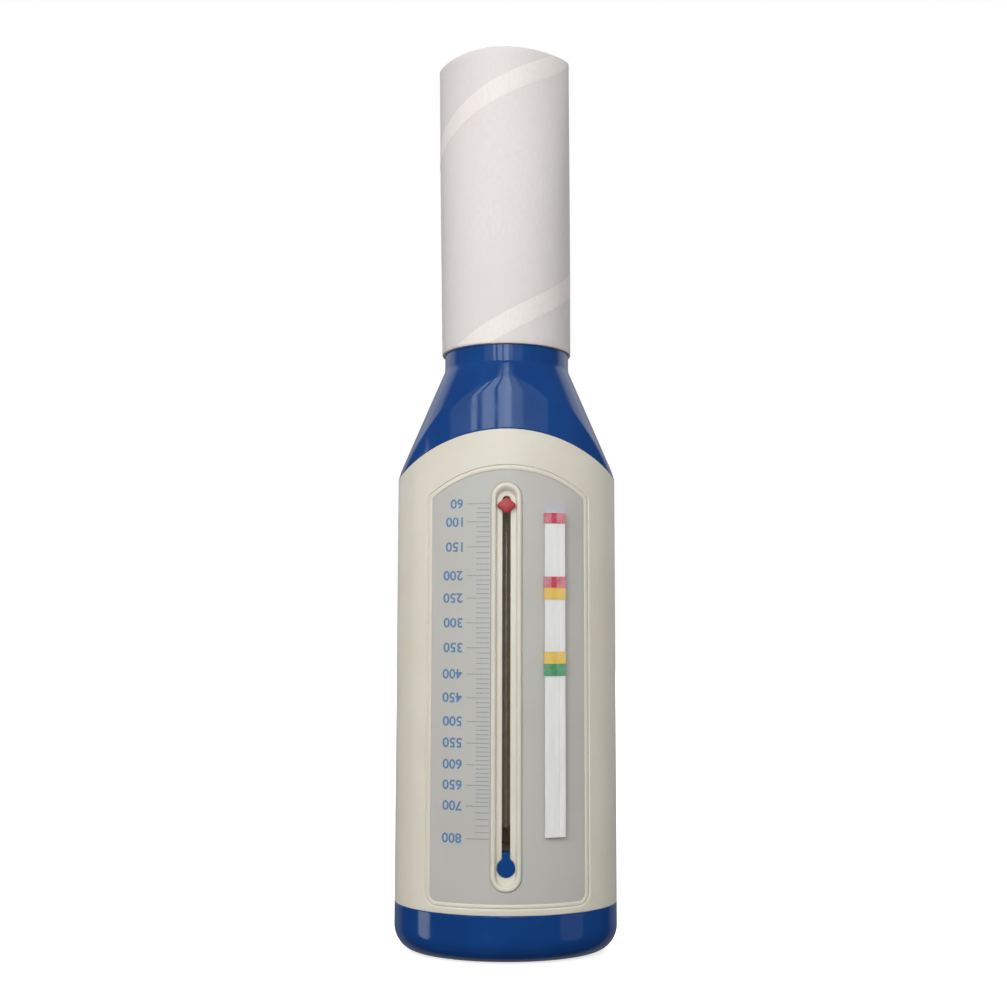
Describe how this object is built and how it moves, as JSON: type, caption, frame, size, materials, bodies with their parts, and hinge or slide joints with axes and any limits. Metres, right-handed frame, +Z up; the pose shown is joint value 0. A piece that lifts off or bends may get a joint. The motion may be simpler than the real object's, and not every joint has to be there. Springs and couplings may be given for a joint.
{
  "type": "peak flow meter",
  "caption": "Hand-held peak flow meter with a cardboard mouthpiece, a spring-loaded piston, a sliding pointer on a scale and movable zone markers.",
  "frame": {"origin": "middle of the flat base, under the axis of the barrel and the mouthpiece", "axes": "+Z up along the barrel towards the mouthpiece, -Y out of the front with the scale, +X to the right as the scale is faced"},
  "size_m": [0.05, 0.0315, 0.205],
  "materials": {
    "card": "white paper, spiral wound, matt",
    "blue": "glossy moulded, royal blue",
    "cream": "satin moulded, cream white",
    "panel": "satin printed panel, light grey",
    "rail": "satin, white",
    "dark_plastic": "matt, near black",
    "grey_plastic": "satin, grey",
    "rubber": "soft matt rubber",
    "bright_steel": "polished rod",
    "spring_steel": "drawn wire and turned steel",
    "brass": "turned",
    "red": "glossy moulded, red",
    "yellow": "glossy moulded, yellow",
    "green": "glossy moulded, green",
    "felt": "thin felt"
  },
  "bodies": {
    "housing": {"top_cap": "blue", "body_sleeve": "cream", "bottom_cap": "blue", "inner_barrel": "dark_plastic", "top_gasket": "rubber", "bottom_gasket": "rubber", "scale_panel": "panel", "slot_end_plug": "blue", "zone_rail": "rail", "guide_rod": "bright_steel", "rod_foot_bush": "brass", "rod_nut": "spring_steel", "top_spider": "grey_plastic", "stop_spacer": "grey_plastic", "bottom_bump_stop": "rubber", "return_spring": "spring_steel"},
    "mouthpiece": {"mouthpiece_tube": "card"},
    "piston": {"piston_disc": "grey_plastic", "piston_bush": "brass", "piston_clip": "spring_steel"},
    "pointer": {"pointer_cap": "red", "pointer_felt": "felt", "pointer_carriage": "dark_plastic"},
    "upper_marker": {"upper_marker_red": "red"},
    "middle_marker": {"middle_marker_red": "red", "middle_marker_yellow": "yellow"},
    "lower_marker": {"lower_marker_yellow": "yellow", "lower_marker_green": "green"}
  },
  "joints": [
    {"name": "mouthpiece_pull", "type": "slide", "parent": "housing", "child": "mouthpiece", "axis": [0, 0, 1], "range_m": [0, 0.025]},
    {"name": "piston_slide", "type": "slide", "parent": "housing", "child": "piston", "axis": [0, 0, -1], "range_m": [0, 0.073], "stiffness_N_per_m": 4, "springref_m": -0.02, "deforming": ["return_spring"]},
    {"name": "pointer_slide", "type": "slide", "parent": "housing", "child": "pointer", "axis": [0, 0, -1], "range_m": [0, 0.073]},
    {"name": "upper_marker_slide", "type": "slide", "parent": "housing", "child": "upper_marker", "axis": [0, 0, 1], "range_m": [-0.0112, 0]},
    {"name": "middle_marker_slide", "type": "slide", "parent": "housing", "child": "middle_marker", "axis": [0, 0, 1], "range_m": [-0.0108, 0]},
    {"name": "lower_marker_slide", "type": "slide", "parent": "housing", "child": "lower_marker", "axis": [0, 0, 1], "range_m": [-0.0346, 0]}
  ]
}
